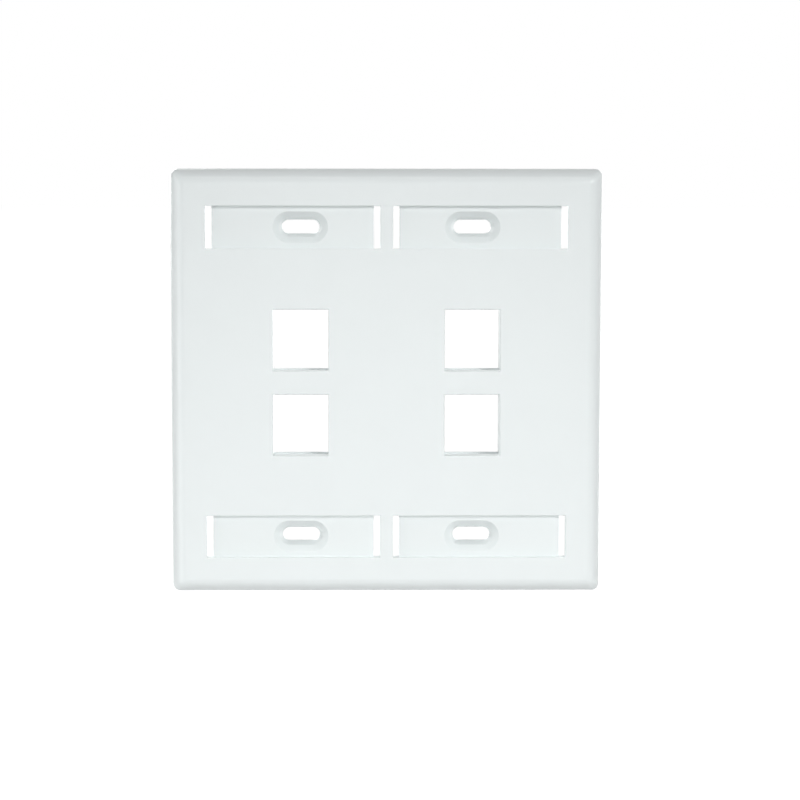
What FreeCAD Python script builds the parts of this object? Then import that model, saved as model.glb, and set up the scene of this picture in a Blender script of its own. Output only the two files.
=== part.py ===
import FreeCAD, Part
import os
import Sketcher
from FreeCAD import Vector

# Two-gang faceplate with four keystone ports and four label recesses, one white moulding.
# Millimetres. The origin is the centre of the four screw slots, in the plane of the rim that
# meets the wall. The face looks along -Y, +X is to its right and +Z is up, so everything
# seen from the front has a negative y and the port housings reach to a positive y.

SIZES = [
    # name, value, what it measures
    ("gang_pitch", 46.04, "from one gang's centre line to the next"),
    ("gang_width", 69.76, "width that a plate of one gang would have"),
    ("screw_pitch", 83.34, "from the lower screw row to the upper one"),
    ("end_margin", 15.48, "from a screw row to the nearer end of the plate"),
    ("plate_depth", 7.0, "from the wall to the front face"),
    ("edge_drop", 5.2, "depth of the rounding, from the face to the straight side"),
    ("edge_reach", 4.0, "width of the rounding, seen from the front"),
    ("crown_radius", 3.0, "the part of the rounding next to the face"),
    ("corner_radius", 2.0, "plan corners of the plate"),
    ("skin", 2.4, "thickness of the face"),
    ("rim_width", 2.2, "flat rim that meets the wall"),
    ("rim_draft", 12.0, "slope of the hollow's walls, degrees"),
    ("hollow_radius", 2.0, "inner corners of the hollow back"),
    ("mould_draft", 1.0, "slope of bosses and housings, degrees"),
    ("slot_length", 10.0, "screw slot from end to end"),
    ("slot_width", 3.7, "screw slot, clears a 3.5 mm screw"),
    ("throat_reach", 0.8, "steep throat beyond the slot, all round"),
    ("throat_depth", 2.2, "throat below the countersink"),
    ("sink_reach", 1.55, "countersink beyond the throat, all round"),
    ("sink_depth", 1.5, "countersink below the label recess"),
    ("boss_wall", 1.8, "wall of the boss round a screw slot"),
    ("label_gap", 3.5, "land between the two recesses of a row"),
    ("label_margin", 9.55, "from a recess to the plate's side"),
    ("label_height", 11.4, "label recess from bottom to top"),
    ("label_depth", 1.6, "label recess below the face"),
    ("pad_rise", 0.8, "thickening behind a label recess"),
    ("pad_wall", 1.7, "thickening beyond the recess, all round"),
    ("tab_slot_width", 1.65, "through slot at each end of a recess"),
    ("port_width", 14.8, "port opening, side to side"),
    ("port_height", 16.5, "port opening, bottom to top"),
    ("lug_ledge", 4.0, "thickness of the ledge over the jack's fixed lug"),
    ("lug_reach", 1.6, "pocket below the opening for the fixed lug"),
    ("latch_ledge", 6.2, "thickness of the ledge over the jack's latch"),
    ("latch_reach", 3.0, "pocket above the opening for the latch"),
    ("latch_room", 2.0, "depth of the latch pocket behind its ledge"),
    ("catch_depth", 1.8, "thickness of the catches behind lug and latch"),
    ("latch_catch", 1.5, "how far the catch comes down behind the latch"),
    ("lead_in", 0.9, "slope on the back of the catches"),
    ("shared_wall", 1.76, "wall between the two ports of a gang"),
    ("housing_wall", 1.8, "other walls of a port housing"),
    ("housing_radius", 1.2, "outer corners of a port housing"),
    ("rib_width", 1.2, "stiffening ribs on the back"),
    ("rib_setback", 1.0, "ribs end this far short of the rim"),
    ("root_radius", 0.5, "fillet where a housing leaves the skin"),
    ("port_edge", 0.35, "rounded front edge of a port"),
    ("recess_edge", 0.2, "rounded front edge of a label recess"),
    ("sink_edge", 0.3, "rounded edge of a countersink"),
]

# Sizes that follow from the ones above, as expressions of the sheet.
PLATE_WIDTH = "(sizes.gang_width + sizes.gang_pitch)"
PLATE_HEIGHT = "(sizes.screw_pitch + 2 * sizes.end_margin)"
HALF_WIDTH = "(sizes.gang_width + sizes.gang_pitch) / 2"
HALF_HEIGHT = "(sizes.screw_pitch / 2 + sizes.end_margin)"
GANG_X = "sizes.gang_pitch / 2"
SCREW_Z = "sizes.screw_pitch / 2"
PORT_PITCH = "(sizes.port_height + sizes.latch_reach + sizes.lug_reach + sizes.shared_wall)"
PORT_TOP = "(" + PORT_PITCH + " / 2 + sizes.port_height / 2)"
PORT_BOTTOM = "(" + PORT_PITCH + " / 2 - sizes.port_height / 2)"
HOLLOW_DEPTH = "(sizes.plate_depth - sizes.skin)"
LATCH_END = "(sizes.latch_ledge + sizes.latch_room)"
HOUSING_DEPTH = "(" + LATCH_END + " + sizes.catch_depth)"
HOUSING_TOP = "(" + PORT_TOP + " + sizes.latch_reach + sizes.housing_wall)"
HOUSING_BOTTOM = "(" + PORT_TOP + " + sizes.lug_reach + sizes.housing_wall)"
LABEL_NEAR = "sizes.label_gap / 2"
LABEL_FAR = "(" + HALF_WIDTH + " - sizes.label_margin)"
LABEL_LOW = "(sizes.screw_pitch - sizes.label_height) / 2"
LABEL_HIGH = "(sizes.screw_pitch + sizes.label_height) / 2"

SLACK = 1.0
NEAR = 1e-3

doc = FreeCAD.newDocument("keystone_faceplate")


def make_sheet():
    """Write the sizes into the sheet, one row each, with the name as the cell's alias."""
    new_sheet = doc.addObject("Spreadsheet::Sheet", "sizes")
    for row, (name, size, note) in enumerate(SIZES, start=1):
        new_sheet.set(f"A{row}", name)
        new_sheet.set(f"B{row}", str(size))
        new_sheet.set(f"C{row}", note)
        new_sheet.setAlias(f"B{row}", name)
    doc.recompute()
    return new_sheet


sheet = make_sheet()
body = doc.addObject("PartDesign::Body", "faceplate")
body.Label = "faceplate"
origin = {feature.Role: feature for feature in body.Origin.OriginFeatures}


def value(expression):
    """What an expression of the sheet comes to now."""
    return float(sheet.evalExpression(expression))


def new_sketch(name, plane, offset="0"):
    """A sketch on an origin plane, moved along the plane's normal by an expression."""
    sketch = body.newObject("Sketcher::SketchObject", name)
    sketch.AttachmentSupport = [(origin[plane], "")]
    sketch.MapMode = "FlatFace"
    sketch.setExpression("AttachmentOffset.Base.z", offset)
    return sketch


def fix_coordinate(sketch, kind, geometry, point, expression):
    """Hold one coordinate of a point at an expression, measured from the sketch's origin."""
    distance = value(expression)
    if distance >= 0:
        constraint = Sketcher.Constraint(kind, -1, 1, geometry, point, distance)
    else:
        constraint = Sketcher.Constraint(kind, geometry, point, -1, 1, -distance)
        expression = f"-({expression})"
    index = sketch.addConstraint(constraint)
    sketch.setExpression(f"Constraints[{index}]", expression)


def end_at(sketch, geometry, place):
    """Which end of a line or arc is at a place: 1 for its start, 2 for its end."""
    return 1 if sketch.getPoint(geometry, 1).distanceToPoint(place) < NEAR else 2


def polygon(sketch, corners):
    """A closed outline of straight lines through corners given as pairs of expressions."""
    spots = [Vector(value(x), value(y), 0) for x, y in corners]
    count = len(corners)
    first = sketch.GeometryCount
    for here in range(count):
        sketch.addGeometry(Part.LineSegment(spots[here], spots[(here + 1) % count]), False)
    for here in range(count):
        after = first + (here + 1) % count
        sketch.addConstraint(Sketcher.Constraint("Coincident", first + here, 2, after, 1))
    for axis, (kind, level) in enumerate((("DistanceX", "Vertical"), ("DistanceY", "Horizontal"))):
        for here in range(count):
            mine = corners[here][axis]
            if here > 0 and mine == corners[here - 1][axis]:
                sketch.addConstraint(Sketcher.Constraint(level, first + here - 1))
            elif here == count - 1 and mine == corners[0][axis]:
                sketch.addConstraint(Sketcher.Constraint(level, first + here))
            else:
                fix_coordinate(sketch, kind, first + here, 1, mine)


def rectangle(sketch, left, right, low, high):
    polygon(sketch, [(left, low), (right, low), (right, high), (left, high)])


def rounded_rectangle(sketch, left, right, low, high, radius):
    """A rectangle with four equal corner arcs, drawn from the lower left one to the left."""
    west, east, south, north, r = (value(item) for item in (left, right, low, high, radius))
    first = sketch.GeometryCount
    corners = ((west, south, 1, 1), (east, south, -1, 1), (east, north, -1, -1), (west, north, 1, -1))
    for x, y, inward_x, inward_y in corners:
        beside = Vector(x, y + inward_y * r, 0)
        below = Vector(x + inward_x * r, y, 0)
        middle = Vector(x + inward_x * r, y + inward_y * r, 0)
        bulge = middle - Vector(inward_x, inward_y, 0).normalize() * r
        sketch.addGeometry(Part.Arc(beside, bulge, below), False)
    runs = (((west + r, south), (east - r, south)), ((east, south + r), (east, north - r)),
            ((east - r, north), (west + r, north)), ((west, north - r), (west, south + r)))
    for number, (start, end) in enumerate(runs):
        line = sketch.addGeometry(Part.LineSegment(Vector(*start, 0), Vector(*end, 0)), False)
        for point, place in ((1, start), (2, end)):
            arc = first + number if point == 1 else first + (number + 1) % len(runs)
            arc_end = end_at(sketch, arc, Vector(*place, 0))
            sketch.addConstraint(Sketcher.Constraint("Tangent", line, point, arc, arc_end))
        level, kind = ("Horizontal", "DistanceY") if number % 2 == 0 else ("Vertical", "DistanceX")
        sketch.addConstraint(Sketcher.Constraint(level, line))
        fix_coordinate(sketch, kind, line, 1, (low, right, high, left)[number])
    for number in range(1, len(corners)):
        sketch.addConstraint(Sketcher.Constraint("Equal", first, first + number))
    index = sketch.addConstraint(Sketcher.Constraint("Radius", first, r))
    sketch.setExpression(f"Constraints[{index}]", radius)


def oblong(sketch, centre_x, centre_y, half_run, radius):
    """Two half circles and two straight runs: half_run is from the middle to an arc's centre."""
    x, y, run, r = (value(item) for item in (centre_x, centre_y, half_run, radius))
    left = Vector(x - run, y, 0)
    right = Vector(x + run, y, 0)
    up = Vector(0, r, 0)
    side = Vector(r, 0, 0)
    top = sketch.addGeometry(Part.LineSegment(left + up, right + up), False)
    low = sketch.addGeometry(Part.LineSegment(right - up, left - up), False)
    east = sketch.addGeometry(Part.Arc(right - up, right + side, right + up), False)
    west = sketch.addGeometry(Part.Arc(left + up, left - side, left - up), False)
    for line, start, end in ((top, (west, 1), (east, 2)), (low, (east, 1), (west, 2))):
        sketch.addConstraint(Sketcher.Constraint("Tangent", line, 1, *start))
        sketch.addConstraint(Sketcher.Constraint("Tangent", line, 2, *end))
    sketch.addConstraint(Sketcher.Constraint("Horizontal", top))
    index = sketch.addConstraint(Sketcher.Constraint("Radius", east, r))
    sketch.setExpression(f"Constraints[{index}]", radius)
    fix_coordinate(sketch, "DistanceX", east, 3, f"{centre_x} + {half_run}")
    fix_coordinate(sketch, "DistanceX", west, 3, f"{centre_x} - {half_run}")
    fix_coordinate(sketch, "DistanceY", east, 3, centre_y)


def pad_back(name, sketch, length, draft="0"):
    """Raise a sketch that faces the front by a length towards the wall."""
    feature = body.newObject("PartDesign::Pad", name)
    feature.Profile = sketch
    feature.Reversed = True
    feature.setExpression("Length", length)
    feature.setExpression("TaperAngle", draft)
    sketch.Visibility = False
    return feature


def pocket(name, sketch, length, draft="0", reverse=False):
    """Cut a sketch into the body by a length, against the sketch's normal unless reversed."""
    feature = body.newObject("PartDesign::Pocket", name)
    feature.Profile = sketch
    feature.Reversed = reverse
    feature.setExpression("Length", length)
    feature.setExpression("TaperAngle", draft)
    sketch.Visibility = False
    return feature


def pocket_both_ways(name, sketch, length):
    """Cut a sketch half the length to each side of its plane."""
    feature = pocket(name, sketch, length)
    feature.SideType = "Symmetric"
    return feature


def mirrored(name, originals, plane):
    """Repeat features on the other side of an origin plane."""
    feature = body.newObject("PartDesign::Mirrored", name)
    feature.Originals = originals
    feature.MirrorPlane = (origin[plane], [""])
    body.Tip = feature
    return feature


def four_ways(name, originals):
    """Repeat features in all four quarters of the plate, by two mirrors in turn."""
    feature = body.newObject("PartDesign::MultiTransform", name)
    feature.Originals = originals
    steps = []
    for plane in ("YZ_Plane", "XY_Plane"):
        step = body.newObject("PartDesign::Mirrored", f"{name}_{plane}")
        step.MirrorPlane = (origin[plane], [""])
        steps.append(step)
    feature.Transformations = steps
    body.Tip = feature
    return feature


def round_edges(name, radius, chosen):
    """Fillet the edges of the body so far whose bounding box passes a test."""
    doc.recompute()
    base = body.Tip
    names = [f"Edge{number}" for number, edge in enumerate(base.Shape.Edges, start=1)
             if chosen(edge.BoundBox)]
    feature = body.newObject("PartDesign::Fillet", name)
    feature.Base = (base, names)
    feature.setExpression("Radius", radius)
    return feature


def lies_at(low, high, level):
    """True where a bounding box is flat and lies at a level, in one of its directions."""
    return abs(low - level) < NEAR and abs(high - level) < NEAR


# The block, and the rounding that runs round its front.
# The rounding is a crown arc, tangent to the face, and a wider shoulder arc, tangent to the
# straight side. Each sketch is the waste outside the arcs, cut along the plate, so the four
# roundings meet in mitred corners like those of the mould.

def edge_waste(sketch, half_span, depth_first):
    """The area between the block's front corner and the two tangent arcs of the rounding."""
    face = "-sizes.plate_depth"
    foot = "(sizes.edge_drop - sizes.plate_depth)"
    inner = f"({half_span} - sizes.edge_reach)"

    def spot(depth, across):
        return Vector(depth, across, 0) if depth_first else Vector(across, depth, 0)

    # The shoulder's radius follows from the crown's, because the arcs meet in a tangent.
    reach = value("sizes.edge_reach")
    drop = value("sizes.edge_drop")
    crown = value("sizes.crown_radius")
    shoulder = (reach ** 2 + drop ** 2 - 2 * drop * crown) / (2 * (reach - crown))
    crown_middle = spot(value(face) + crown, value(inner))
    shoulder_middle = spot(value(foot), value(half_span) - shoulder)
    outward = (crown_middle - shoulder_middle).normalize()
    on_face = spot(value(face), value(inner))
    corner = spot(value(face), value(half_span))
    on_side = spot(value(foot), value(half_span))
    joint = crown_middle + outward * crown

    def halfway(middle, radius, one, other):
        return middle + ((one - middle).normalize() + (other - middle).normalize()).normalize() * radius

    along_face = sketch.addGeometry(Part.LineSegment(on_face, corner), False)
    along_side = sketch.addGeometry(Part.LineSegment(corner, on_side), False)
    crown_arc = sketch.addGeometry(
        Part.Arc(on_face, halfway(crown_middle, crown, on_face, joint), joint), False)
    shoulder_arc = sketch.addGeometry(
        Part.Arc(joint, halfway(shoulder_middle, shoulder, joint, on_side), on_side), False)

    sketch.addConstraint(Sketcher.Constraint("Coincident", along_face, 2, along_side, 1))
    for one, other, place in ((along_face, crown_arc, on_face), (crown_arc, shoulder_arc, joint),
                              (shoulder_arc, along_side, on_side)):
        one_end = end_at(sketch, one, place)
        other_end = end_at(sketch, other, place)
        sketch.addConstraint(Sketcher.Constraint("Tangent", one, one_end, other, other_end))
    index = sketch.addConstraint(Sketcher.Constraint("Radius", crown_arc, crown))
    sketch.setExpression(f"Constraints[{index}]", "sizes.crown_radius")
    along_depth, along_span = ("DistanceX", "DistanceY") if depth_first else ("DistanceY", "DistanceX")
    fix_coordinate(sketch, along_depth, along_face, 1, face)
    fix_coordinate(sketch, along_depth, along_face, 2, face)
    fix_coordinate(sketch, along_depth, along_side, 2, foot)
    fix_coordinate(sketch, along_span, along_face, 1, inner)
    fix_coordinate(sketch, along_span, along_face, 2, half_span)
    fix_coordinate(sketch, along_span, along_side, 2, half_span)


def make_outer_form():
    outline = new_sketch("plate_outline", "XZ_Plane")
    rectangle(outline, f"-{HALF_WIDTH}", HALF_WIDTH, f"-{HALF_HEIGHT}", HALF_HEIGHT)
    block = body.newObject("PartDesign::Pad", "plate_block")
    block.Profile = outline
    block.setExpression("Length", "sizes.plate_depth")

    top_waste = new_sketch("top_rounding", "YZ_Plane")
    edge_waste(top_waste, HALF_HEIGHT, depth_first=True)
    top_cut = pocket_both_ways("top_rounding_cut", top_waste, f"{PLATE_WIDTH} + 2 * {SLACK}")
    mirrored("bottom_rounding_cut", [top_cut], "XY_Plane")

    side_waste = new_sketch("side_rounding", "XY_Plane")
    edge_waste(side_waste, HALF_WIDTH, depth_first=False)
    side_cut = pocket_both_ways("side_rounding_cut", side_waste, f"{PLATE_HEIGHT} + 2 * {SLACK}")
    mirrored("other_side_rounding_cut", [side_cut], "YZ_Plane")

    corner_x = value(HALF_WIDTH) - value("sizes.edge_reach") - NEAR
    corner_z = value(HALF_HEIGHT) - value("sizes.edge_reach") - NEAR

    def at_a_plan_corner(box):
        beyond_x = min(abs(box.XMin), abs(box.XMax)) > corner_x
        beyond_z = min(abs(box.ZMin), abs(box.ZMax)) > corner_z
        return beyond_x and beyond_z and box.YLength > NEAR

    round_edges("plan_corners", "sizes.corner_radius", at_a_plan_corner)


# The front: the shallow floors of the label recesses and the mouths of the ports, with their
# edges rounded. The mouths go as deep as the skin, and the port sections below open them up.

def make_front():
    floor = new_sketch("label_outline", "XZ_Plane", "sizes.plate_depth")
    rectangle(floor, LABEL_NEAR, LABEL_FAR, LABEL_LOW, LABEL_HIGH)
    recess = pocket("label_recess", floor, "sizes.label_depth")
    four_ways("label_recesses", [recess])

    face = -value("sizes.plate_depth")
    inner_x = value(HALF_WIDTH) - value("sizes.edge_reach") - NEAR

    def on_face(box):
        return max(abs(box.XMin), abs(box.XMax)) < inner_x and lies_at(box.YMin, box.YMax, face)

    round_edges("recess_edges", "sizes.recess_edge", on_face)

    mouth = new_sketch("port_mouth_outline", "XZ_Plane", "sizes.plate_depth")
    half_port = "sizes.port_width / 2"
    rectangle(mouth, f"{GANG_X} - {half_port}", f"{GANG_X} + {half_port}", PORT_BOTTOM, PORT_TOP)
    opening = pocket("port_mouth", mouth, "sizes.skin")
    four_ways("port_mouths", [opening])

    lowest_label = value(LABEL_LOW) - value("sizes.recess_edge") - NEAR

    def round_a_port(box):
        return on_face(box) and max(abs(box.ZMin), abs(box.ZMax)) < lowest_label

    round_edges("port_edges", "sizes.port_edge", round_a_port)


# The hollow back: one drafted pocket that leaves the skin and the rim, then the thickening
# behind the label recesses, the bosses round the screw slots, the port housings and the ribs.

def make_hollow():
    mouth = new_sketch("hollow_mouth", "XZ_Plane")
    half_x = f"({HALF_WIDTH} - sizes.rim_width)"
    half_z = f"({HALF_HEIGHT} - sizes.rim_width)"
    rounded_rectangle(mouth, f"-{half_x}", half_x, f"-{half_z}", half_z, "sizes.hollow_radius")
    pocket("hollow", mouth, HOLLOW_DEPTH, draft="-sizes.rim_draft", reverse=True)


def make_label_pads():
    pad = new_sketch("label_pad", "XZ_Plane", HOLLOW_DEPTH)
    half_x = f"({LABEL_FAR} + sizes.pad_wall)"
    rectangle(pad, f"-{half_x}", half_x, f"{LABEL_LOW} - sizes.pad_wall", f"{LABEL_HIGH} + sizes.pad_wall")
    upper = pad_back("upper_label_pad", pad, "sizes.pad_rise")
    mirrored("lower_label_pad", [upper], "XY_Plane")


def make_screw_bosses():
    ring = new_sketch("boss_outline", "XZ_Plane", HOLLOW_DEPTH)
    oblong(ring, GANG_X, SCREW_Z, "(sizes.slot_length - sizes.slot_width) / 2",
           "(sizes.slot_width / 2 + sizes.boss_wall)")
    boss = pad_back("screw_boss", ring, HOLLOW_DEPTH, draft="-sizes.mould_draft")
    four_ways("screw_bosses", [boss])


def make_housing_blocks():
    block = new_sketch("housing_outline", "XZ_Plane", HOLLOW_DEPTH)
    half_x = "(sizes.port_width / 2 + sizes.housing_wall)"
    rounded_rectangle(block, f"{GANG_X} - {half_x}", f"{GANG_X} + {half_x}",
                      f"-{HOUSING_BOTTOM}", HOUSING_TOP, "sizes.housing_radius")
    housing = pad_back("housing_block", block, f"{HOUSING_DEPTH} - sizes.skin", draft="-sizes.mould_draft")
    mirrored("housing_blocks", [housing], "YZ_Plane")

    inner_skin = -value(HOLLOW_DEPTH)
    beyond = value(f"{GANG_X} + {half_x}") + NEAR
    above = value(HOUSING_TOP) + NEAR

    def housing_root(box):
        beside = max(abs(box.XMin), abs(box.XMax)) < beyond
        within = max(abs(box.ZMin), abs(box.ZMax)) < above
        return beside and within and lies_at(box.YMin, box.YMax, inner_skin)

    round_edges("housing_roots", "sizes.root_radius", housing_root)


def make_ribs():
    length = f"{HOLLOW_DEPTH} - sizes.rib_setback"
    half = "sizes.rib_width / 2"
    beyond_x = f"({HALF_WIDTH} - sizes.rim_width)"
    beyond_z = f"({HALF_HEIGHT} - sizes.rim_width)"
    upper_row = f"({HOUSING_TOP} + {LABEL_LOW} - sizes.pad_wall) / 2"
    lower_row = f"(-{HOUSING_BOTTOM} - {LABEL_LOW} + sizes.pad_wall) / 2"

    upright = new_sketch("middle_rib_outline", "XZ_Plane", HOLLOW_DEPTH)
    rectangle(upright, f"-{half}", half, f"-{beyond_z}", beyond_z)
    pad_back("middle_rib", upright, length)
    for name, row in (("upper_rib", upper_row), ("port_rib", "0"), ("lower_rib", lower_row)):
        across = new_sketch(f"{name}_outline", "XZ_Plane", HOLLOW_DEPTH)
        rectangle(across, f"-{beyond_x}", beyond_x, f"{row} - {half}", f"{row} + {half}")
        pad_back(name, across, length)


# A keystone port. The jack goes in from the back, its fixed lug first, into the pocket below
# the opening, and is then pushed up until its latch springs into the pocket above. A ledge in
# front of each pocket stops the jack at the face, a catch behind each one keeps it there, and
# the slopes on the backs of the catches guide lug and latch in.

def make_ports():
    section = new_sketch("port_section", "YZ_Plane", GANG_X)
    top = PORT_TOP
    low = PORT_BOTTOM

    def depth(expression):
        return f"{expression} - sizes.plate_depth"

    front = f"-sizes.plate_depth - {SLACK}"
    behind = depth(HOUSING_DEPTH)
    outside = f"{behind} + {SLACK}"
    pocket_end = depth(LATCH_END)
    slope_start = f"{behind} - sizes.lead_in"
    latch_top = f"({top} + sizes.latch_reach)"
    latch_catch_edge = f"({latch_top} - sizes.latch_catch)"
    lug_floor = f"({low} - sizes.lug_reach)"
    lug_slope_end = f"({low} - sizes.lead_in)"
    latch_slope_end = f"({latch_catch_edge} + sizes.lead_in)"
    polygon(section, [
        (front, low),
        (depth("sizes.lug_ledge"), low),
        (depth("sizes.lug_ledge"), lug_floor),
        (pocket_end, lug_floor),
        (pocket_end, low),
        (slope_start, low),
        (behind, lug_slope_end),
        (outside, lug_slope_end),
        (outside, latch_slope_end),
        (behind, latch_slope_end),
        (slope_start, latch_catch_edge),
        (pocket_end, latch_catch_edge),
        (pocket_end, latch_top),
        (depth("sizes.latch_ledge"), latch_top),
        (depth("sizes.latch_ledge"), top),
        (front, top),
    ])
    port = pocket_both_ways("port", section, "sizes.port_width")

    ports = body.newObject("PartDesign::MultiTransform", "ports")
    ports.Originals = [port]
    other_gang = body.newObject("PartDesign::Mirrored", "other_gang")
    other_gang.MirrorPlane = (origin["YZ_Plane"], [""])
    port_below = body.newObject("PartDesign::LinearPattern", "port_below")
    port_below.Direction = (origin["Z_Axis"], [""])
    port_below.Reversed = True
    port_below.Occurrences = 2
    port_below.setExpression("Length", PORT_PITCH)
    ports.Transformations = [other_gang, port_below]
    body.Tip = ports


# The cuts that go right through, after everything on the back is in place: the two tab slots
# of a recess, the screw slot, and in the recess's floor the countersink, which leads into the
# slot by a steep throat.

def make_through_slots():
    tabs = new_sketch("tab_slot_outlines", "XZ_Plane", "sizes.plate_depth")
    rectangle(tabs, LABEL_NEAR, f"{LABEL_NEAR} + sizes.tab_slot_width", LABEL_LOW, LABEL_HIGH)
    rectangle(tabs, f"{LABEL_FAR} - sizes.tab_slot_width", LABEL_FAR, LABEL_LOW, LABEL_HIGH)
    tab_slots = pocket("tab_slots", tabs, "sizes.plate_depth")

    half_run = "(sizes.slot_length - sizes.slot_width) / 2"
    screw_slot = new_sketch("screw_slot_outline", "XZ_Plane", "sizes.plate_depth")
    oblong(screw_slot, GANG_X, SCREW_Z, half_run, "sizes.slot_width / 2")
    slot_cut = pocket("screw_slot", screw_slot, f"sizes.plate_depth + {SLACK}")

    def tapered_cut(name, level, radius, depth, narrowing):
        """Cut an oblong round the screw slot that narrows evenly as it goes deeper."""
        outline = new_sketch(f"{name}_outline", "XZ_Plane", level)
        oblong(outline, GANG_X, SCREW_Z, half_run, radius)
        return pocket(name, outline, depth, draft=f"-atan({narrowing} / {depth})")

    label_level = "sizes.plate_depth - sizes.label_depth"
    throat_radius = "(sizes.slot_width / 2 + sizes.throat_reach)"
    sink_radius = f"({throat_radius} + sizes.sink_reach)"
    throat = tapered_cut("slot_throat", f"{label_level} - sizes.sink_depth", throat_radius,
                         "sizes.throat_depth", "sizes.throat_reach")
    sink = tapered_cut("countersink", label_level, sink_radius, "sizes.sink_depth", "sizes.sink_reach")
    four_ways("screw_and_tab_slots", [tab_slots, slot_cut, throat, sink])

    label_floor = -value(label_level)
    sink_half_length = value(f"{half_run} + {sink_radius}") + NEAR
    sink_half_height = value(sink_radius) + NEAR

    def on_a_sink_outline(box):
        beside = abs(abs(box.Center.x) - value(GANG_X)) + box.XLength / 2 < sink_half_length
        within = abs(abs(box.Center.z) - value(SCREW_Z)) + box.ZLength / 2 < sink_half_height
        return beside and within and lies_at(box.YMin, box.YMax, label_floor)

    round_edges("countersink_edges", "sizes.sink_edge", on_a_sink_outline)


make_outer_form()
make_front()
make_hollow()
make_housing_blocks()
make_label_pads()
make_screw_bosses()
make_ribs()
make_ports()
make_through_slots()
doc.recompute()

for item in doc.Objects:
    if "Invalid" in item.State or "Error" in item.State:
        raise RuntimeError(f"{item.Name} is {item.State}")
if body.Shape.isNull() or not body.Shape.isValid():
    raise RuntimeError("the faceplate's shape is not valid")
if len(body.Shape.Solids) != 1:
    raise RuntimeError("the faceplate is not one solid")

os.makedirs("parts", exist_ok=True)
body.Shape.exportStep(f"parts/{body.Label}.step")

box = body.Shape.BoundBox
print(f"faceplate: {box.XLength:.2f} x {box.YLength:.2f} x {box.ZLength:.2f} mm,"
      f" {body.Shape.Volume / 1000:.2f} cubic cm, {len(body.Shape.Faces)} faces")
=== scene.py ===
# %% [markdown]
# # A white keystone faceplate, and the studio that it is photographed in
#
# The real object is one moulding: a plate for two gangs with four snap-in ports, four shallow
# label recesses, screw slots with countersinks, and a hollow, ribbed back. It could be built
# here with mesh code, but its exact shape is made in CAD and packed before this script runs, so
# nothing has to be built by eye. The first cell fetches that shape. It arrives in metres, with
# the plate's face looking along -Y, +X to its right and +Z up, and it stays where it is.

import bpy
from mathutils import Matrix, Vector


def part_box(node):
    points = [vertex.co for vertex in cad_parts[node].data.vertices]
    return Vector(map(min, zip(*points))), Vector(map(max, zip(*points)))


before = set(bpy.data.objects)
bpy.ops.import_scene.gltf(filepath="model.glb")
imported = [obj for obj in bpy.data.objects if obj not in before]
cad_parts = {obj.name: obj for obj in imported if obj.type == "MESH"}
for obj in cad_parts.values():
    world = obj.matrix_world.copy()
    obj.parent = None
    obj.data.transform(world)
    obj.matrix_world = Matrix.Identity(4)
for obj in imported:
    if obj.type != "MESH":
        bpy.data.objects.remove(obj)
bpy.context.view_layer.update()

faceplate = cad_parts["faceplate"]
plate_low, plate_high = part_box("faceplate")
print("faceplate, mm:", [round(side * 1000, 2) for side in plate_high - plate_low])
print("faces:", len(faceplate.data.polygons))

# %% [markdown]
# ## The lens
#
# A photograph of a flat plate gives the camera away. The plate's top is only a little wider
# than its bottom, and little shows of the walls inside the openings, so the camera stood well
# back with a long lens. A wide lens from nearby could fill the picture just as well, but it
# would taper the plate too much. The focal length was measured in pixels of the picture, and
# the sensor's width turns it into millimetres.

# %% Choose the lens
import bpy

sensor_width = 36.0
picture_width = 800
focal_length_in_pixels = 2598.3
nearest_seen = 0.05
farthest_seen = 50.0

camera_data = bpy.data.cameras.new("camera")
camera_data.sensor_width = sensor_width
camera_data.lens = focal_length_in_pixels / picture_width * sensor_width
camera_data.clip_start = nearest_seen
camera_data.clip_end = farthest_seen
print("lens, mm:", round(camera_data.lens, 1))

# %% [markdown]
# ## The camera's place
#
# The plate's top is the wider end, and the ports show their lower walls, so the camera stood
# above the middle and looked down a little. A Track To constraint could aim it at the plate.
# Three plain angles say more clearly what was measured, and nothing in the scene moves.

# %% Place the camera
import math

from mathutils import Euler, Vector

millimetre = 0.001
camera_place = Vector((-8.0, -700.0, 70.0)) * millimetre
level_view = math.radians(90)
looking_down = math.radians(6.14)
turned_to_the_right = math.radians(0.95)
leaning = math.radians(-0.08)

camera = bpy.data.objects.new("camera", camera_data)
camera.location = camera_place
camera.rotation_euler = Euler((level_view - looking_down, leaning, -turned_to_the_right), "XYZ")
bpy.context.scene.collection.objects.link(camera)
bpy.context.scene.camera = camera
print("camera, mm from the plate:", round(camera_place.length / millimetre))

# %% [markdown]
# ## The developing
#
# Blender can develop a render as film does, with softened highlights and greyer whites. A white
# plate on white would turn grey that way, and its pigment couldn't be judged. The Standard view
# shows each colour as it is written, so that is the one to use here.

# %% Show colours as they are written
bpy.context.scene.view_settings.view_transform = "Standard"
print("view:", bpy.context.scene.view_settings.view_transform)

# %% [markdown]
# ## A recipe for the moulded plastic
#
# The plate is white ABS from a polished mould. One flat colour would make it look like paper,
# so the plastic gets a node tree, which the next cells fill: the pigment, the polish, and the
# fine relief of the skin. An image texture could hold all of that, but textures worked out in
# object coordinates are sharp from any distance, need no unwrapping, and run over corners
# without a seam.
#
# Every node is made in the same way: choose its kind, set the numbers on its sockets, join it
# to the nodes before it. One helper does all three, so that the recipes read as recipes. A
# value that is a socket becomes a wire, and any other value is written on the socket itself.

# %% Start the recipe


def start_recipe(owner):
    """The node tree of a new material or world, emptied."""
    owner.use_nodes = True
    owner.node_tree.nodes.clear()
    return owner.node_tree


def add_node(recipe, kind, sockets=(), **settings):
    """A node with its settings made and its input sockets filled or wired."""
    made = recipe.nodes.new(kind)
    for name, setting in settings.items():
        setattr(made, name, setting)
    for name, given in dict(sockets).items():
        if isinstance(given, bpy.types.NodeSocket):
            recipe.links.new(given, made.inputs[name])
        else:
            made.inputs[name].default_value = given
    return made


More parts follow.
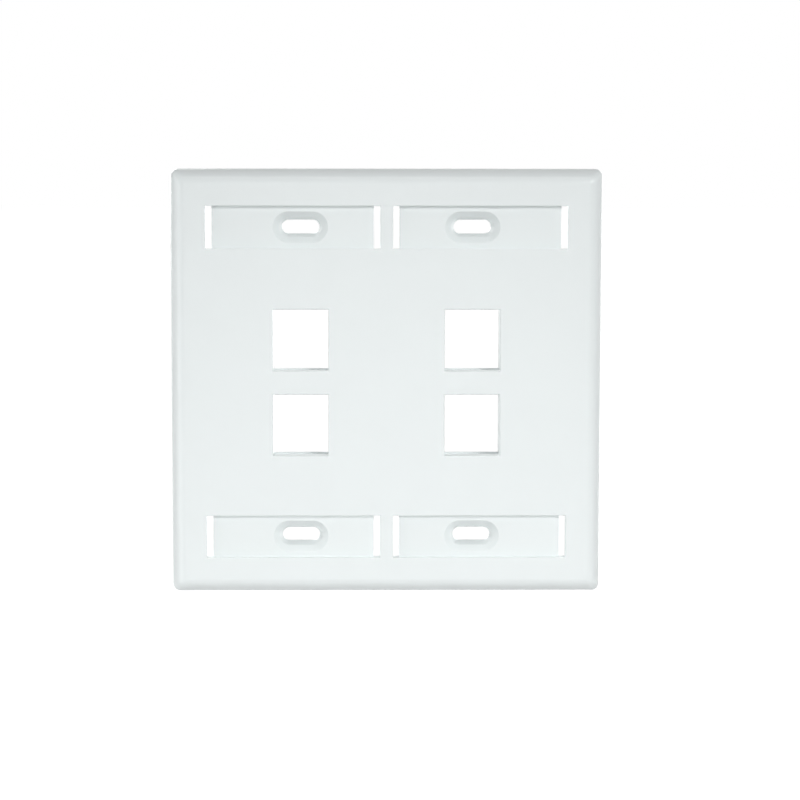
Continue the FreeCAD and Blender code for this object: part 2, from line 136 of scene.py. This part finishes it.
moulded_plastic = bpy.data.materials.new("moulded_white_plastic")
plastic_recipe = start_recipe(moulded_plastic)
on_the_plate = add_node(plastic_recipe, "ShaderNodeTexCoord").outputs
print("recipe started:", moulded_plastic.name)

# %% [markdown]
# ## The pigment
#
# The real plastic is white with a faint cool tint. Its pigment is mixed in very evenly, so the
# colour drifts by a hair at most, over a centimetre or more. A Color Ramp could spread the
# drift over several shades. Two shades that a noise texture mixes are enough for a change that
# should hardly be seen.

# %% Mix the pigment


def mottle(recipe, where, width, detail):
    """A cloudy pattern from 0 to 1, with patches about that many millimetres wide."""
    sockets = {"Vector": where, "Scale": 1 / (width * millimetre), "Detail": detail}
    return add_node(recipe, "ShaderNodeTexNoise", sockets).outputs["Fac"]


def shades(recipe, amount, first, second):
    """The colour that lies between two shades by an amount from 0 to 1."""
    sockets = {"Factor": amount, "A": first, "B": second}
    return add_node(recipe, "ShaderNodeMix", sockets, data_type="RGBA").outputs["Result"]


deeper_white = (0.803, 0.847, 0.847, 1)
paler_white = (0.823, 0.869, 0.868, 1)
drift_width = 14.0

drift = mottle(plastic_recipe, on_the_plate["Object"], drift_width, detail=2.0)
pigment = shades(plastic_recipe, drift, deeper_white, paler_white)
print("pigment, from", deeper_white[:3], "to", paler_white[:3])

# %% [markdown]
# ## The polish
#
# The half of the mould that makes the face is polished, though never quite evenly, so the sheen
# changes softly every few millimetres. A noise texture keeps mostly between 0.3 and 0.7, and
# that range is spread over the roughness of the face. The core half, which makes the hollow
# back, is left duller. A second material could do the back, but its many small faces would have
# to be picked out. Where a face looks says the same: the more it looks to the wall, along +Y,
# the more roughness is added.

# %% Polish the face and leave the back duller


def spread(recipe, value, given, wanted):
    """The value, with the ends of the given range moved to the ends of the wanted one."""
    sockets = {"Value": value, "From Min": given[0], "From Max": given[1],
               "To Min": wanted[0], "To Max": wanted[1]}
    return add_node(recipe, "ShaderNodeMapRange", sockets).outputs["Result"]


def arithmetic(recipe, operation, first, second):
    """The result of one Math node."""
    sockets = {0: first, 1: second}
    return add_node(recipe, "ShaderNodeMath", sockets, operation=operation).outputs[0]


smear_width = 6.0
smears_between = (0.3, 0.7)
face_roughness = (0.33, 0.39)
looks_to_the_wall = (0.2, 0.9)
added_roughness = (0.0, 0.16)

smears = mottle(plastic_recipe, on_the_plate["Object"], smear_width, detail=3.0)
polish = spread(plastic_recipe, smears, smears_between, face_roughness)
facing = add_node(plastic_recipe, "ShaderNodeSeparateXYZ", {"Vector": on_the_plate["Normal"]})
core_side = spread(plastic_recipe, facing.outputs["Y"], looks_to_the_wall, added_roughness)
dullness = arithmetic(plastic_recipe, "ADD", polish, core_side)
print("roughness of the face:", face_roughness, "and on the back up to", added_roughness[1], "more")

# %% [markdown]
# ## Ripple and grain
#
# Seen close, a moulded face isn't quite flat. It has a faint ripple a millimetre or two wide,
# often called orange peel, and a much finer grain. Displacement could raise them in the mesh,
# but they are only a few thousandths of a millimetre high, so they go into Bump nodes. The
# second node starts from the first one's normal, and so the grain lies on the ripple.

# %% Raise the ripple and the grain
relief_strength = 0.5


def relief(recipe, pattern, height, under=None):
    """The normal of a surface with a pattern raised on it to a height in millimetres."""
    sockets = {"Height": pattern, "Strength": relief_strength, "Distance": height * millimetre}
    if under is not None:
        sockets["Normal"] = under
    return add_node(recipe, "ShaderNodeBump", sockets).outputs["Normal"]


ripple_width, ripple_height = 1.6, 0.010
grain_width, grain_height = 0.22, 0.003

ripple = mottle(plastic_recipe, on_the_plate["Object"], ripple_width, detail=1.0)
grain = mottle(plastic_recipe, on_the_plate["Object"], grain_width, detail=2.0)
rippled = relief(plastic_recipe, ripple, ripple_height)
grained = relief(plastic_recipe, grain, grain_height, under=rippled)
print("ripple, mm:", ripple_width, "wide, grain, mm:", grain_width, "wide")

# %% [markdown]
# ## The finished plastic
#
# A coat layer could give the gloss, but a coat is for lacquer over a paint. Here the plastic
# itself shines, so the Principled shader's own gloss is enough, with the refractive index of
# ABS. That number is the same all over, and is written on the shader's socket. The plate keeps
# its shape as it was packed, and only the finish in its material slot changes.

# %% Put the plastic on the plate
refractive_index = 1.52

shader = add_node(plastic_recipe, "ShaderNodeBsdfPrincipled", {
    "Base Color": pigment,
    "Roughness": dullness,
    "IOR": refractive_index,
    "Normal": grained,
})
add_node(plastic_recipe, "ShaderNodeOutputMaterial", {"Surface": shader.outputs["BSDF"]})
faceplate.data.materials.clear()
faceplate.data.materials.append(moulded_plastic)
print("the faceplate's finish:", faceplate.data.materials[0].name)

# %% [markdown]
# ## The floor's glow
#
# The plate is shown on white, so the floor has two jobs: to throw pale light up at the plate,
# as a real table would, and to be out of the way. A matt white floor alone would look grey
# against the background. More lamps could brighten it, but they would light the plate as well.
# So the floor glows a little, more with distance, until it meets the white behind it, and only
# for rays that look straight at it or at its mirror image. The Light Path node tells them from
# the rays that carry light to the plate.

# %% Make the floor glow for the eye only


def seen_directly(recipe):
    """1 for rays that look straight at something or see it mirrored, and 0 for lighting."""
    path = add_node(recipe, "ShaderNodeLightPath").outputs
    mirrored = arithmetic(recipe, "MAXIMUM", path["Is Glossy Ray"], path["Is Transmission Ray"])
    return arithmetic(recipe, "MAXIMUM", path["Is Camera Ray"], mirrored)


plain_white = (1, 1, 1, 1)
white_level = 1.0
glow_near_the_plate = 0.62
glow_grows_between = (0.4, 1.4)

pale_paper = bpy.data.materials.new("pale_paper")
paper_recipe = start_recipe(pale_paper)
on_the_floor = add_node(paper_recipe, "ShaderNodeTexCoord").outputs["Object"]
away = add_node(paper_recipe, "ShaderNodeVectorMath", {0: on_the_floor}, operation="LENGTH")
glow = spread(paper_recipe, away.outputs["Value"], glow_grows_between,
              (glow_near_the_plate, white_level))
strength = arithmetic(paper_recipe, "MULTIPLY", glow, seen_directly(paper_recipe))
light = add_node(paper_recipe, "ShaderNodeEmission", {"Color": plain_white, "Strength": strength})
print("glow of the floor, from", glow_near_the_plate, "to", white_level)

# %% [markdown]
# ## The floor's paper
#
# Under the glow lies studio paper: matt, nearly white, with a faint cloudiness of its fibres. A
# Principled shader could be turned down to that, but the Diffuse shader is matt to begin with.
# Adding the two shaders keeps the plate's shadow, because the glow only comes on top.

# %% Make the paper
greyer_paper = (0.80, 0.80, 0.80, 1)
whiter_paper = (0.84, 0.84, 0.84, 1)
fibre_width = 3.0

fibres = mottle(paper_recipe, on_the_floor, fibre_width, detail=2.0)
shade = shades(paper_recipe, fibres, greyer_paper, whiter_paper)
matt = add_node(paper_recipe, "ShaderNodeBsdfDiffuse", {"Color": shade})
both = add_node(paper_recipe, "ShaderNodeAddShader",
                {0: matt.outputs["BSDF"], 1: light.outputs["Emission"]})
add_node(paper_recipe, "ShaderNodeOutputMaterial", {"Surface": both.outputs["Shader"]})
print("paper, from", greyer_paper[0], "to", whiter_paper[0])

# %% [markdown]
# ## The floor itself
#
# The photographed plate stands free, with no shadow beside it. The floor could be hidden from
# the camera, but then it would be missing from the other views too. It lies well below instead,
# so that the plate's shadow falls outside this picture, and it is large enough for its far edge
# to lie in the white. One four-cornered face is all that a flat floor needs.

# %% Lay the floor
floor_drop = 0.30
floor_reach = 12.0

floor_mesh = bpy.data.meshes.new("floor")
corners = [(x * floor_reach, y * floor_reach, 0) for x, y in ((-1, -1), (1, -1), (1, 1), (-1, 1))]
floor_mesh.from_pydata(corners, [], [(0, 1, 2, 3)])
floor_mesh.materials.append(pale_paper)
floor = bpy.data.objects.new("floor", floor_mesh)
floor.location.z = plate_low.z - floor_drop
bpy.context.scene.collection.objects.link(floor)
print("floor, mm below the plate:", round(floor_drop / millimetre))

# %% [markdown]
# ## The surroundings
#
# What the camera sees behind the plate, through its openings and mirrored in its surface is
# plain white. A white backdrop could stand there, but the world already lies behind everything.
# The Light Path node keeps its white from lighting the plate. Only a faint even light is left
# for that, because the lamps do the work, and they can be placed.

# %% Light the surroundings
ambient_level = 0.02

surroundings = bpy.data.worlds.new("white_studio")
air_recipe = start_recipe(surroundings)
level = spread(air_recipe, seen_directly(air_recipe), (0.0, 1.0), (ambient_level, white_level))
sky = add_node(air_recipe, "ShaderNodeBackground", {"Color": plain_white, "Strength": level})
add_node(air_recipe, "ShaderNodeOutputWorld", {"Surface": sky.outputs["Background"]})
bpy.context.scene.world = surroundings
print("even light from all round:", ambient_level)

# %% [markdown]
# ## The lamps in front
#
# A white plate needs soft light that still has a direction, or its edges vanish. The photograph
# tells where that light came from: the recesses have a thin shadow under their upper edges, and
# the countersinks are darkest above and to the right. So the main lamp stands in front, above
# and to the right, and a weaker, larger one hangs over the plate. Both are area lamps, because
# a sun or a point would draw hard shadows.
#
# Each lamp's power is worked out from the level of light that it gives, so that its distance
# can change without changing the exposure. A surface that faces a lamp shows its colour as
# written when pi watts fall on each square metre. A flat lamp throws its watts divided by pi
# straight ahead, so at one metre it needs pi squared of them, and elsewhere that many times the
# distance squared.

# %% Hang the lamps in front
watts_at_one_metre = math.pi ** 2
middle_of_the_plate = Vector((0, 0, 0))


def hang(lamp_data, azimuth, elevation, distance, aim):
    """Hang a lamp in a direction from the plate, in degrees, and turn it to a point."""
    across, up = math.radians(azimuth), math.radians(elevation)
    lamp = bpy.data.objects.new(lamp_data.name, lamp_data)
    lamp.location = distance * Vector((math.sin(across) * math.cos(up),
                                       -math.cos(across) * math.cos(up),
                                       math.sin(up)))
    lamp.rotation_mode = "QUATERNION"
    lamp.rotation_quaternion = (aim - lamp.location).to_track_quat("-Z", "Y")
    bpy.context.scene.collection.objects.link(lamp)
    print(lamp_data.name, "W:", round(lamp_data.energy, 2))


def soft_lamp(name, azimuth, elevation, distance, size, level):
    """A square area lamp, in metres, that gives the plate that level of light."""
    lamp_data = bpy.data.lights.new(name, "AREA")
    lamp_data.shape = "SQUARE"
    lamp_data.size = size
    lamp_data.energy = level * watts_at_one_metre * distance ** 2
    hang(lamp_data, azimuth, elevation, distance, middle_of_the_plate)


soft_lamp("main_lamp", azimuth=33, elevation=24, distance=1.6, size=0.3, level=0.45)
soft_lamp("top_lamp", azimuth=0, elevation=70, distance=1.6, size=0.7, level=0.13)

# %% [markdown]
# ## The panels at the sides
#
# The rounding along the plate's left side is nearly as bright as its face, and the one along
# its right side less so. The main lamp could be moved round, but the shadows fix its place. A
# wide panel at each side lights the roundings without lighting the face much, because it stands
# almost in line with the face. The left panel is the stronger one.

# %% Stand a panel at each side
soft_lamp("left_panel", azimuth=-75, elevation=0, distance=1.0, size=1.0, level=0.63)
soft_lamp("right_panel", azimuth=75, elevation=0, distance=1.0, size=1.0, level=0.12)

# %% [markdown]
# ## The spot near the camera
#
# The real plate gets a little brighter towards its lower end. Painting that into the pigment
# would stay wrong from every other side, so it is made with light: a spot lamp near the camera
# is aimed below the plate, and its pool of light fades upwards over the face. A spot counts its
# watts over a whole sphere, which is four times what a flat lamp needs.

# %% Aim the spot at the lower end


def spot_lamp(name, azimuth, elevation, distance, size, level, aim, half_angle):
    """A spot lamp of that level on its axis, which fades out evenly towards the cone's edge."""
    lamp_data = bpy.data.lights.new(name, "SPOT")
    lamp_data.shadow_soft_size = size / 2
    lamp_data.spot_size = math.radians(2 * half_angle)
    lamp_data.spot_blend = 1.0
    lamp_data.energy = 4 * level * watts_at_one_metre * distance ** 2
    hang(lamp_data, azimuth, elevation, distance, aim)


below_the_plate = Vector((0, 0, -0.20))
spot_lamp("low_spot", azimuth=0, elevation=8, distance=1.6, size=0.1, level=0.33,
          aim=below_the_plate, half_angle=11.5)

# %% [markdown]
# ## The lamps behind
#
# The walls inside the ports are nearly white in the photograph, so light came from behind as
# well. A brighter world could give that, but it would also flatten the face. Two soft lamps
# behind the plate reach the walls of its openings and little else that the camera sees, and
# they show the ribs of the hollow back when the plate is turned round. One is stronger, so that
# the ribs have a light side and a shaded side.

# %% Light the ports from behind
soft_lamp("back_lamp", azimuth=-160, elevation=12, distance=1.6, size=0.7, level=0.42)
soft_lamp("back_fill", azimuth=160, elevation=0, distance=1.6, size=0.7, level=0.22)
